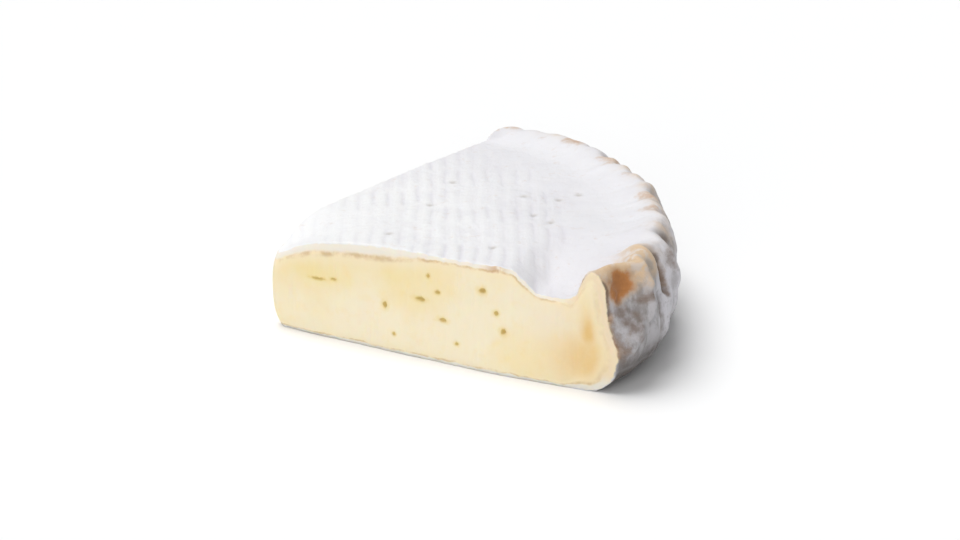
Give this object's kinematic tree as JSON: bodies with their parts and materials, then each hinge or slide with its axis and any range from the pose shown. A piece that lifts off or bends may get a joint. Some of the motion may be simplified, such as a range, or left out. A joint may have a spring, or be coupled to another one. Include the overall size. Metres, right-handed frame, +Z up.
{
  "type": "cheese wedge",
  "caption": "Wedge cut from a round, soft-ripened cheese wheel with a white bloomy rind; lies on its flat underside as food on a board or shelf.",
  "frame": {"origin": "middle of the wedge's footprint box, on the surface that the underside rests on", "axes": "+Z up, through the cheese's thickness; the wedge's point is towards -X and the wheel's rim towards +X; the plane halfway between the two cuts is y = 0"},
  "size_m": [0.1204, 0.1346, 0.036],
  "materials": {
    "rind": "matte",
    "paste": "satin"
  },
  "bodies": {
    "root": {"cheese_wedge": "rind"}
  },
  "joints": []
}
